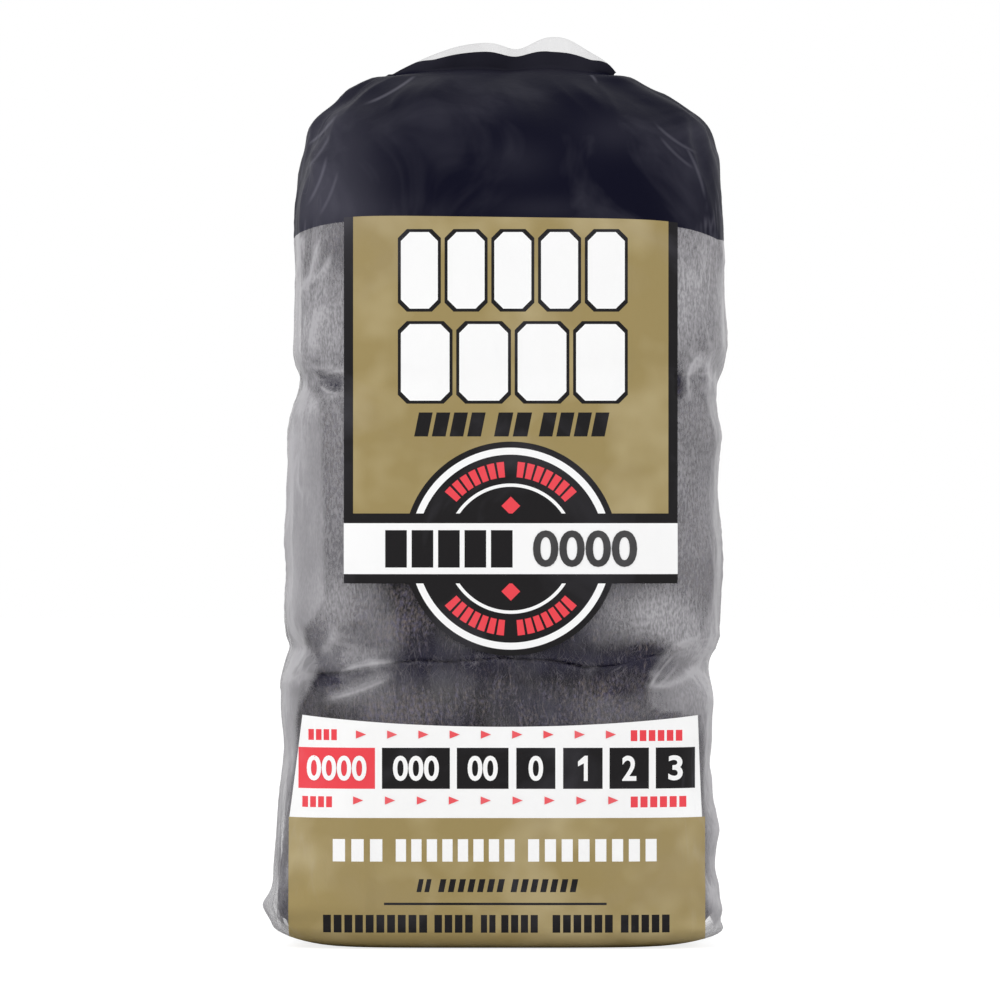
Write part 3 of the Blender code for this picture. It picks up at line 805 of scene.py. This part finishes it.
def film_material():
    g = Graph("printed_film")
    coords = g.node("ShaderNodeTexCoord").outputs["Object"]
    mm = g.node("ShaderNodeVectorMath", {0: coords, "Scale": 1000.0}, operation="SCALE").outputs[0]
    split = g.node("ShaderNodeSeparateXYZ", {0: mm})
    x, y, z = split.outputs
    ink_edge = g.node("ShaderNodeAttribute", attribute_name="ink_edge").outputs["Fac"]
    haze = g.node("ShaderNodeAttribute", attribute_name="haze").outputs["Fac"]
    frost = g.node("ShaderNodeAttribute", attribute_name="frost").outputs["Fac"]
    mist_and_sheen = g.node("ShaderNodeAttribute", attribute_name="mist_and_sheen").outputs["Fac"]
    front = g.math("LESS_THAN", y, -8.0)

    def bar(x0, x1, z0, z1):
        return g.all_of(g.between(x, x0, x1), g.between(z, z0, z1))

    colour = MILK

    def ink(mask, paint):
        nonlocal colour
        colour = g.mix(mask, colour, paint)

    # Label panel with its frame, badge and band
    mottled = g.ramp(g.noise(coords, 62.0, 2.0, 0.5), 0.47, 0.72)
    label_x = g.near(x, LABEL_X, LABEL_HALF)
    label = g.all_of(label_x, g.between(z, LABEL_LOW, PANEL_HIGH + 3), front)
    ink(label, BLACK)
    gold = g.all_of(g.near(x, LABEL_X, LABEL_HALF - FRAME_BAR), g.between(z, PANEL_LOW, PANEL_HIGH), front)
    ink(gold, GOLD)
    ink(g.all_of(gold, mottled), PALE_GOLD)
    dx, dz = g.math("SUBTRACT", x, LABEL_X), g.math("SUBTRACT", z, BADGE_Z)
    reach = g.math("SQRT", g.math("ADD", g.math("MULTIPLY", dx, dx), g.math("MULTIPLY", dz, dz)))
    badge = g.all_of(g.math("LESS_THAN", reach, BADGE_RINGS[0][0]), front)
    for radius, name in BADGE_RINGS:
        disc = g.all_of(g.math("LESS_THAN", reach, radius), front)
        ink(disc, BLACK if name == "black" else WHITE)
    turn = g.math("ABSOLUTE", g.math("ARCTAN2", dx, g.math("ABSOLUTE", dz)))
    words = g.all_of(g.between(reach, 17.6, 21.4), g.between(turn, 0.08, 0.86))
    ticks = g.math("FRACT", g.math("MULTIPLY", g.math("SUBTRACT", turn, 0.08), 8.65))
    ink(g.all_of(words, g.math("LESS_THAN", ticks, 0.74), front), RED)
    spot = g.math("ADD", g.math("ABSOLUTE", dx), g.math("ABSOLUTE", g.math("SUBTRACT", g.math("ABSOLUTE", dz), 10.5)))
    ink(g.all_of(g.math("LESS_THAN", spot, 2.3), front), RED)
    ink(g.all_of(label_x, g.between(z, LABEL_LOW, PANEL_LOW), front), BLACK)
    ink(g.all_of(label_x, g.between(z, BAND_LOW, BAND_HIGH), front), WHITE)

    # Rows of white blocks with a dark outline stand where the large words were
    for row_z, count, half in BLOCK_ROWS:
        pitch = 2 * half / count
        start = g.math("SUBTRACT", x, LABEL_X + 0.5 - half)
        local = g.math("SUBTRACT", g.math("MULTIPLY", g.math("FRACT", g.math("DIVIDE", start, pitch)), pitch), pitch / 2)
        bx = g.math("ABSOLUTE", local)
        bz = g.math("ABSOLUTE", g.math("SUBTRACT", z, row_z))
        both = g.math("ADD", bx, bz)
        inside = g.all_of(g.near(x, LABEL_X + 0.5, half), front)
        for grow, paint in ((0.75, BLACK), (0.0, WHITE)):
            hx, hz = pitch / 2 - 1.2 + grow, BLOCK_HALF_HEIGHT - 0.5 + grow
            block = g.all_of(g.math("LESS_THAN", bx, hx), g.math("LESS_THAN", bz, hz))
            chamfer = g.math("LESS_THAN", both, hx + hz - 2.2)
            ink(g.all_of(block, chamfer, inside), paint)

    # Short slanted dashes and plain dashes keep the weight of the smaller lines
    def dashes(x0, x1, z0, z1, pitch, fill, paint, slant=0.0):
        shifted = g.math("SUBTRACT", x, g.math("MULTIPLY", g.math("SUBTRACT", z, (z0 + z1) / 2), slant)) if slant else x
        mask = g.all_of(g.between(shifted, x0, x1), g.between(z, z0, z1), front)
        count = max(1, round((x1 - x0) / pitch + 1 - fill))
        pitch = (x1 - x0) / (count - 1 + fill)
        tick = g.math("FRACT", g.math("DIVIDE", g.math("SUBTRACT", shifted, x0 - 0.001), pitch))
        mask = g.all_of(mask, g.math("LESS_THAN", tick, fill))
        ink(mask, paint)

    for x0, x1 in ((-21.2, -4.8), (-1.6, 6.6), (9.4, 25.6)):
        dashes(x0, x1, 126.1, 132.0, 4.1, 0.78, BLACK, slant=0.2)
    dashes(-28.9, 2.4, 93.9, 103.1, 6.25, 0.82, BLACK)

    # Scale strip
    bow = g.math("MULTIPLY", g.math("MULTIPLY", x, x), 0.00115)
    strip_top = g.math("ADD", bow, 54.8)
    strip_left = g.math("SUBTRACT", g.math("MULTIPLY", g.math("SUBTRACT", z, 57.5), 0.129), 49.4)
    strip_right = g.math("SUBTRACT", 48.1, g.math("MULTIPLY", g.math("SUBTRACT", z, 57.2), 0.041))
    strip = g.all_of(
        g.math("LESS_THAN", z, strip_top), g.math("GREATER_THAN", z, LOWER_BAND_TOP - 0.1),
        g.math("GREATER_THAN", x, strip_left), g.math("LESS_THAN", x, strip_right), front,
    )
    ink(strip, WHITE)
    for text, x0, x1 in SCALE_BOXES:
        box = g.all_of(bar(x0, x1, SCALE_Z - SCALE_HALF, SCALE_Z + SCALE_HALF), front)
        ink(box, RED if text == "0000" else BLACK)
    for x0, x1, middle in SCALE_WORDS:
        dashes(x0, x1, middle - 1.35, middle + 1.35, (x1 - x0) / (4 if x1 - x0 < 9 else 6), 0.74, RED)

    # Lower band
    lower = g.all_of(g.between(x, -52.8, 49.9), g.math("LESS_THAN", z, LOWER_BAND_TOP), front)
    ink(lower, GOLD)
    ink(g.all_of(lower, mottled), PALE_GOLD)
    dashes(-41.8, -29.6, 21.7, 27.2, 4.2, 0.66, WHITE)
    dashes(-26.3, 2.9, 21.7, 27.2, 3.72, 0.66, WHITE)
    dashes(6.2, 37.8, 21.7, 27.2, 4.0, 0.66, WHITE)
    for x0, x1 in ((-20.9, -17.8), (-15.6, 0.2), (2.2, 18.2)):
        dashes(x0, x1, 14.2, 17.4, 2.3, 0.6, BLACK, slant=0.2)
    ink(g.all_of(bar(-29.2, 25.5, 11.0, 11.6), front), BLACK)
    for x0, x1 in ((-44.2, -18.6), (-16.8, -7.4), (-5.4, -1.8), (-0.4, 8.6), (12.2, 27.0), (29.0, 41.0)):
        dashes(x0, x1, 4.2, 8.6, 2.5, 0.74, BLACK)

    # Header, whose lower edge drops a little towards the sides
    off = g.math("DIVIDE", g.math("SUBTRACT", x, 1.0), 52.0)
    fall = g.math("MULTIPLY", g.math("POWER", g.math("ABSOLUTE", off), 7.0), 3.4)
    edge = g.math("SUBTRACT", HEADER_BOTTOM * 1000, g.math("MINIMUM", fall, 3.4))
    edge = g.math("SUBTRACT", edge, g.math("MULTIPLY", x, 0.013))
    edge = g.math("ADD", edge, g.math("MULTIPLY", g.all_of(label_x, front), 1.1))
    header = g.all_of(g.math("GREATER_THAN", z, edge), g.math("GREATER_THAN", ink_edge, 0.0))
    ink(header, NAVY)
    # The seal fin takes the lighter navy, painted light that hides the step in shading against the shoulder
    ink(g.math("MULTIPLY", header, g.ramp(ink_edge, 0.0075, 0.0045)), FIN_NAVY_PAINTED_LIGHT)
    printed = g.any_of(label, badge, strip, lower, header)

    # Cloudy haze, and fine pale creases at the shoulders, sides and tier joints: partly milky film haze, partly painted
    # highlight
    smoke = {"Vector": coords, "Scale": 30.0, "Detail": 4.0, "Roughness": 0.55, "Distortion": 0.9}
    haze_and_sheen_clouds = g.ramp(g.node("ShaderNodeTexNoise", smoke).outputs["Fac"], 0.50, 0.70)
    # Painted shade: the pale clouds fade over the header's upper dome, which faces the lights above
    haze_and_sheen_clouds = g.math("MULTIPLY", haze_and_sheen_clouds, g.ramp(z, 202.0, 213.0, 1.0, 0.5))
    wisps = g.ramp(g.noise(g.stretch(coords, 1.0, 1.0, 0.35), 120.0, 4.0, 0.6), 0.35, 0.75, -0.5, 0.5)
    lines = g.noise(g.stretch(coords, 1.0, 1.0, 0.24), 210.0, 2.0, 0.5)
    lines = g.math("SUBTRACT", 1.0, g.math("MULTIPLY", g.math("ABSOLUTE", g.math("SUBTRACT", lines, 0.5)), 16.0))
    lines = g.math("MAXIMUM", lines, 0.0)
    level = g.noise(g.stretch(coords, 0.5, 0.5, 1.4), 110.0, 2.0, 0.5)
    level = g.math("SUBTRACT", 1.0, g.math("MULTIPLY", g.math("ABSOLUTE", g.math("SUBTRACT", level, 0.5)), 14.0))
    level = g.math("MAXIMUM", level, 0.0)
    sides = g.ramp(g.math("ABSOLUTE", x), 40.0, 50.0)
    joints = [g.ramp(g.math("ABSOLUTE", g.math("SUBTRACT", z, c / MM)), 11.0, 3.0) for c in CREASES]
    joint = g.math("MULTIPLY", g.any_of(*joints), g.ramp(g.math("ABSOLUTE", x), 16.0, 40.0))
    creased = g.any_of(g.math("MULTIPLY", lines, sides), g.math("MULTIPLY", level, joint))
    sharp = []
    for k in range(3):
        distance = g.node("ShaderNodeAttribute", attribute_name=f"line_{k}").outputs["Fac"]
        strength = g.node("ShaderNodeAttribute", attribute_name=f"strength_{k}").outputs["Fac"]
        sharp.append(g.math("MULTIPLY", g.ramp(g.math("ABSOLUTE", distance), 0.55, 0.05), strength))
    sharp = g.any_of(*sharp)
    broken = g.ramp(g.noise(coords, 75.0, 2.0), 0.45, 0.62)
    creased = g.math("MULTIPLY", creased, broken)
    # Pale lilac mixed into the print from the clouds, header patches, pale creases and crisp crease lines: partly film
    # haze, partly painted highlight
    milky_haze_and_highlight = g.math("ADD", g.math("MULTIPLY", haze_and_sheen_clouds, 0.030), g.math("MULTIPLY", mist_and_sheen, 0.040))
    milky_haze_and_highlight = g.math("ADD", milky_haze_and_highlight, g.math("MULTIPLY", g.math("MULTIPLY", creased, sides), 0.07))
    milky_haze_and_highlight = g.math("ADD", milky_haze_and_highlight, g.math("MULTIPLY", sharp, 0.10))
    colour = g.mix(g.math("MULTIPLY", milky_haze_and_highlight, printed), colour, (0.76, 0.74, 0.90, 1))
    facing = g.node("ShaderNodeLayerWeight", {"Blend": 0.5}).outputs["Facing"]
    grain = g.ramp(g.noise(g.stretch(coords, 1.0, 1.0, 0.36), 2100.0, 2.0, 0.6), 0.36, 0.66, 0.72, 1.28)
    veil = g.math("ADD", haze, g.math("MULTIPLY", frost, grain))
    veil = g.math("ADD", veil, g.math("MULTIPLY", wisps, 0.10))
    # Painted highlight along the pale creases and crisp crease lines, partly the doubled film's haze
    veil = g.math("ADD", veil, g.math("MULTIPLY", creased, 0.26))
    veil = g.math("ADD", veil, g.math("MULTIPLY", sharp, 0.34))
    veil = g.math("ADD", veil, g.math("MULTIPLY", g.math("POWER", facing, 3.0), 0.55))
    opacity = g.math("MINIMUM", g.any_of(veil, printed), 1.0)

    crinkle = g.noise(g.stretch(coords, 1.0, 1.0, 0.5), 420.0, 3.0, 0.6)
    height = g.math("ADD", crinkle, g.math("MULTIPLY", creased, 1.5))
    bump = g.node("ShaderNodeBump", {"Height": height, "Distance": 0.00012, "Strength": 0.5}).outputs[0]
    g.put(g.shader.inputs["Base Color"], colour)
    g.put(g.shader.inputs["Normal"], bump)
    g.shader.inputs["Roughness"].default_value = 0.5
    g.shader.inputs["Specular IOR Level"].default_value = 0.03
    clear = g.node("ShaderNodeBsdfTransparent")
    body = g.node("ShaderNodeMixShader", {0: opacity, 1: clear.outputs[0], 2: g.shader.outputs[0]})
    gloss = g.node("ShaderNodeBsdfGlossy", {"Roughness": 0.2, "Normal": bump})
    glancing = g.node("ShaderNodeLayerWeight", {"Blend": 0.5, "Normal": bump}).outputs["Facing"]
    rim = g.math("ADD", g.math("MULTIPLY", g.math("POWER", glancing, 5.0), 0.3), 0.004)
    rim = g.math("MULTIPLY", rim, g.ramp(printed, 0.0, 1.0, 1.0, 0.07))
    rim = g.math("MULTIPLY", rim, g.ramp(z, 203.0, 213.0, 1.0, 0.35))
    whole = g.node("ShaderNodeMixShader", {0: rim, 1: body.outputs[0], 2: gloss.outputs[0]})
    g.put(g.output.inputs["Surface"], whole.outputs[0])
    return g.material


def wool_material():
    g = Graph("steel_wool")
    across = g.node("ShaderNodeAttribute", attribute_name="across").outputs["Fac"]
    along = g.node("ShaderNodeAttribute", attribute_name="along").outputs["Fac"]
    fibre = g.node("ShaderNodeCombineXYZ", {"X": across, "Y": along}).outputs[0]
    coords = g.node("ShaderNodeTexCoord").outputs["Object"]
    bend = g.noise(fibre, 130.0, 2.0)
    swayed = g.math("ADD", across, g.math("MULTIPLY", bend, 0.0035))
    fibre = g.node("ShaderNodeCombineXYZ", {"X": swayed, "Y": along}).outputs[0]
    fine = g.noise(g.stretch(fibre, 2.3, 0.9, 1.0), 1000.0, 2.0, 0.7)
    broad = g.noise(g.stretch(fibre, 1.1, 0.16, 1.0), 1000.0, 2.0, 0.6)
    patches = g.noise(coords, 46.0, 3.0, 0.6)
    tone = g.math("ADD", g.math("MULTIPLY", fine, 0.6), g.math("MULTIPLY", broad, 0.4))
    tone = g.math("ADD", tone, g.math("MULTIPLY", g.math("SUBTRACT", patches, 0.52), 0.52))

    # Painted shade: darker, bluer wool where the tiers meet, for the shadow in the groove between the pads
    height = g.node("ShaderNodeSeparateXYZ", {0: coords}).outputs["Z"]
    waver = g.math("MULTIPLY", g.math("SUBTRACT", g.noise(coords, 55.0, 2.0), 0.5), 0.016)
    height = g.math("ADD", height, waver)
    joint_shade_bands = [g.ramp(g.math("ABSOLUTE", g.math("SUBTRACT", height, c)), 0.0085, 0.0015) for c in CREASES]
    joint_shade = g.any_of(*joint_shade_bands)
    tone = g.math("SUBTRACT", tone, g.math("MULTIPLY", joint_shade, 0.105))
    share = g.ramp(tone, 0.422, 0.668)
    tint = g.ramp(g.noise(coords, 1100.0, 1.0), 0.38, 0.62)
    cool = g.ramp(g.noise(coords, 60.0, 2.0), 0.62, 0.38)
    # The painted shade at the tier joints also turns the dark wool bluer
    cool = g.any_of(cool, joint_shade)
    dark = g.mix(cool, (0.0060, 0.0045, 0.0060, 1), (0.0058, 0.0042, 0.0200, 1))
    pale = g.mix(tint, (0.112, 0.100, 0.160, 1), (0.160, 0.130, 0.122, 1))
    colour = g.mix(share, dark, pale)
    rise = g.math("ADD", g.math("MULTIPLY", fine, 0.6), broad)
    bump = g.node("ShaderNodeBump", {"Height": rise, "Distance": 0.0003, "Strength": 0.7}).outputs[0]
    g.put(g.shader.inputs["Base Color"], colour)
    g.put(g.shader.inputs["Normal"], bump)
    g.put(g.shader.inputs["Roughness"], g.ramp(fine, 0.3, 0.7, 0.62, 0.4))
    g.shader.inputs["Metallic"].default_value = 0.35
    return g.material


def fibre_material():
    g = Graph("steel_fibre")
    coords = g.node("ShaderNodeTexCoord").outputs["Object"]
    tone = g.ramp(g.noise(coords, 240.0, 3.0), 0.35, 0.65)
    g.put(g.shader.inputs["Base Color"], g.mix(tone, (0.035, 0.030, 0.045, 1), (0.22, 0.205, 0.235, 1)))
    g.put(g.shader.inputs["Roughness"], g.ramp(tone, 0.0, 1.0, 0.5, 0.32))
    g.shader.inputs["Metallic"].default_value = 0.7
    return g.material


def print_material(name, paint):
    g = Graph(name)
    coords = g.node("ShaderNodeTexCoord").outputs["Object"]
    # Pale clouds over the ink: partly milky film haze, partly painted highlight, as on the film's print
    haze_and_sheen_clouds = g.ramp(g.noise(coords, 52.0, 3.0, 0.6), 0.42, 0.68, 0.0, 0.06)
    g.put(g.shader.inputs["Base Color"], g.mix(haze_and_sheen_clouds, paint, (0.85, 0.85, 0.9, 1)))
    crinkle = g.noise(g.stretch(coords, 1.0, 1.0, 0.5), 420.0, 3.0, 0.6)
    bump = g.node("ShaderNodeBump", {"Height": crinkle, "Distance": 0.00012, "Strength": 0.5}).outputs[0]
    g.put(g.shader.inputs["Normal"], bump)
    g.shader.inputs["Roughness"].default_value = 0.35
    return g.material


# Numerals and arrows, laid on the film

PRINT_LIFT = 0.00011


def laid_on_film(name, outline_mesh, film_tree, material):
    """Turns a flat mesh in x and z (metres) into a print that follows the film's front."""
    bm = bmesh.new()
    bm.from_mesh(outline_mesh)
    bmesh.ops.triangulate(bm, faces=bm.faces)
    for _ in range(3):
        long_edges = [e for e in bm.edges if e.calc_length() > 0.9 * MM]
        if long_edges:
            bmesh.ops.subdivide_edges(bm, edges=long_edges, cuts=1)
            bmesh.ops.triangulate(bm, faces=bm.faces)
    for v in bm.verts:
        hit = film_tree.ray_cast(Vector((v.co.x, -0.2, v.co.z)), Vector((0, 1, 0)))
        v.co.y = hit[0].y - PRINT_LIFT
    mesh = bpy.data.meshes.new(name)
    bm.normal_update()
    for face in bm.faces:
        if face.normal.y > 0:
            face.normal_flip()
        face.smooth = True
    bm.to_mesh(mesh)
    bm.free()
    obj = bpy.data.objects.new(name, mesh)
    bpy.context.scene.collection.objects.link(obj)
    mesh.materials.append(material)
    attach(obj, "root")
    return obj


def numeral_mesh(text, middle_x, middle_z, width, height):
    """Bold numerals that fill the width and height given, in mm, standing in x and z."""
    if text == "1":
        outline = ((0.1, -0.5), (0.5, -0.5), (0.5, 0.5), (0.18, 0.5), (-0.5, 0.27), (-0.5, 0.08), (0.1, 0.2))
        mesh = bpy.data.meshes.new("numeral_one")
        flat = [((middle_x + a * width) * MM, 0, (middle_z + b * height) * MM) for a, b in outline]
        mesh.from_pydata(flat, [], [tuple(range(len(flat)))])
        return mesh
    curve = bpy.data.curves.new("numerals", "FONT")
    curve.body = text
    curve.offset = 0.022
    curve.resolution_u = 5
    holder = bpy.data.objects.new("numerals", curve)
    mesh = bpy.data.meshes.new_from_object(holder)
    bpy.data.objects.remove(holder)
    bpy.data.curves.remove(curve)
    co = np.array([v.co[:] for v in mesh.vertices])
    low, high = co.min(0), co.max(0)
    span = high - low
    flat = np.zeros_like(co)
    flat[:, 0] = (middle_x + (co[:, 0] - (low[0] + high[0]) / 2) * width / span[0]) * MM
    flat[:, 2] = (middle_z + (co[:, 1] - (low[1] + high[1]) / 2) * height / span[1]) * MM
    mesh.vertices.foreach_set("co", flat.astype(np.float32).ravel())
    mesh.update()
    return mesh


def joined(meshes):
    bm = bmesh.new()
    for mesh in meshes:
        bm.from_mesh(mesh)
    mesh = bpy.data.meshes.new("joined")
    bm.to_mesh(mesh)
    bm.free()
    return mesh


def make_print(tree):
    white = print_material("print_white", WHITE)
    black = print_material("print_black", BLACK)
    red = print_material("print_red", RED)
    widths = {"0000": 14.8, "000": 11.3, "00": 7.4, "0": 3.6, "1": 2.4, "2": 3.5, "3": 3.6}
    numerals = [numeral_mesh(t, (x0 + x1) / 2, SCALE_Z, widths[t], 6.2) for t, x0, x1 in SCALE_BOXES]
    laid_on_film("scale_numerals", joined(numerals), tree, white)
    grade = numeral_mesh("0000", 20.2, (BAND_LOW + BAND_HIGH) / 2, 25.6, 9.0)
    laid_on_film("band_numerals", grade, tree, black)
    arrows = bmesh.new()
    for z, first, last in ARROW_ROWS:
        for k in range(ARROW_COUNT):
            x = first + (last - first) * k / (ARROW_COUNT - 1)
            corners = ((x - 1.2, z - 1.0), (x + 1.3, z), (x - 1.2, z + 1.0))
            arrows.faces.new([arrows.verts.new((cx * MM, 0, cz * MM)) for cx, cz in corners])
    flat = bpy.data.meshes.new("arrows")
    arrows.to_mesh(flat)
    arrows.free()
    laid_on_film("scale_arrows", flat, tree, red)


# Stage, light and camera


def make_floor():
    g = Graph("floor")
    path = g.node("ShaderNodeLightPath").outputs["Is Camera Ray"]
    g.shader.inputs["Base Color"].default_value = (0.86, 0.86, 0.86, 1)
    g.shader.inputs["Roughness"].default_value = 0.9
    g.shader.inputs["Specular IOR Level"].default_value = 0.0
    glow = g.node("ShaderNodeEmission", {"Color": (1, 1, 1, 1), "Strength": 1.0})
    seen = g.node("ShaderNodeMixShader", {0: 0.5, 1: g.shader.outputs[0], 2: glow.outputs[0]})
    glow.inputs["Strength"].default_value = 1.62
    lit = g.node("ShaderNodeMixShader", {0: path, 1: g.shader.outputs[0], 2: seen.outputs[0]})
    g.put(g.output.inputs["Surface"], lit.outputs[0])
    floor = new_piece("floor", [(-6, -6, 0), (6, -6, 0), (6, 6, 0), (-6, 6, 0)], [(0, 1, 2, 3)], smooth=False)
    floor.data.materials.append(g.material)
    floor.location.z = -0.00005


def make_world():
    world = bpy.data.worlds.new("studio")
    bpy.context.scene.world = world
    world.use_nodes = True
    tree = world.node_tree
    back = tree.nodes["Background"]
    path = tree.nodes.new("ShaderNodeLightPath")
    seen = path.outputs["Is Camera Ray"]
    for ray in ("Is Transmission Ray", "Is Glossy Ray"):
        either = tree.nodes.new("ShaderNodeMath")
        either.operation = "MAXIMUM"
        tree.links.new(seen, either.inputs[0])
        tree.links.new(path.outputs[ray], either.inputs[1])
        seen = either.outputs[0]
    strength = tree.nodes.new("ShaderNodeMapRange")
    strength.inputs["To Min"].default_value = 0.62
    strength.inputs["To Max"].default_value = 1.0
    tree.links.new(seen, strength.inputs["Value"])
    tree.links.new(strength.outputs["Result"], back.inputs["Strength"])
    back.inputs["Color"].default_value = (1, 1, 1, 1)


def area_light(name, place, size, power, target=(0, 0, 0.11)):
    lamp = bpy.data.lights.new(name, "AREA")
    lamp.shape = "RECTANGLE"
    lamp.size, lamp.size_y = size
    lamp.energy = power
    obj = bpy.data.objects.new(name, lamp)
    obj.location = place
    aim = Vector(target) - Vector(place)
    obj.rotation_euler = aim.to_track_quat("-Z", "Y").to_euler()
    bpy.context.scene.collection.objects.link(obj)


CAMERA_DISTANCE = 2.2
FRAME_HEIGHT = 0.2456


def make_camera():
    data = bpy.data.cameras.new("camera")
    data.sensor_width = 36
    data.lens = 36 * (CAMERA_DISTANCE - BAG_DEPTH / 2) / FRAME_HEIGHT
    cam = bpy.data.objects.new("camera", data)
    cam.location = (-0.0007, -CAMERA_DISTANCE, 0.1105)
    cam.rotation_euler = (math.pi / 2, 0, 0)
    bpy.context.scene.collection.objects.link(cam)
    bpy.context.scene.camera = cam


film = make_film()
film.data.materials.append(film_material())
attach(film, "root")
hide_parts("film_bag")
bm = bmesh.new()
bm.from_mesh(film.data)
film_tree = BVHTree.FromBMesh(bm)
bm.free()
make_print(film_tree)

grid, grid_faces = block_grid()
wool, fibre = wool_material(), fibre_material()
for layer in range(len(LAYERS)):
    made = [make_pad(tier, layer, grid, grid_faces, film_tree, wool) for tier in range(len(TIERS))]
    bm = bmesh.new()
    for pad, _, _ in made:
        bm.from_mesh(pad.data)
    layer_tree = BVHTree.FromBMesh(bm)
    bm.free()
    for tier, (_, verts, outward) in enumerate(made):
        make_fibres(tier, layer, verts, outward, layer_tree, fibre)

make_floor()
make_world()
area_light("key", (-0.9, -1.6, 1.3), (1.0, 1.0), 12.5)
area_light("fill", (1.3, -1.3, 0.8), (1.2, 1.2), 6.5)
area_light("side_left", (-1.5, -0.2, 0.5), (0.5, 1.4), 5.5)
area_light("side_right", (1.5, 0.3, 0.5), (0.5, 1.4), 5.5)
make_camera()
bpy.context.scene.view_settings.view_transform = "Standard"
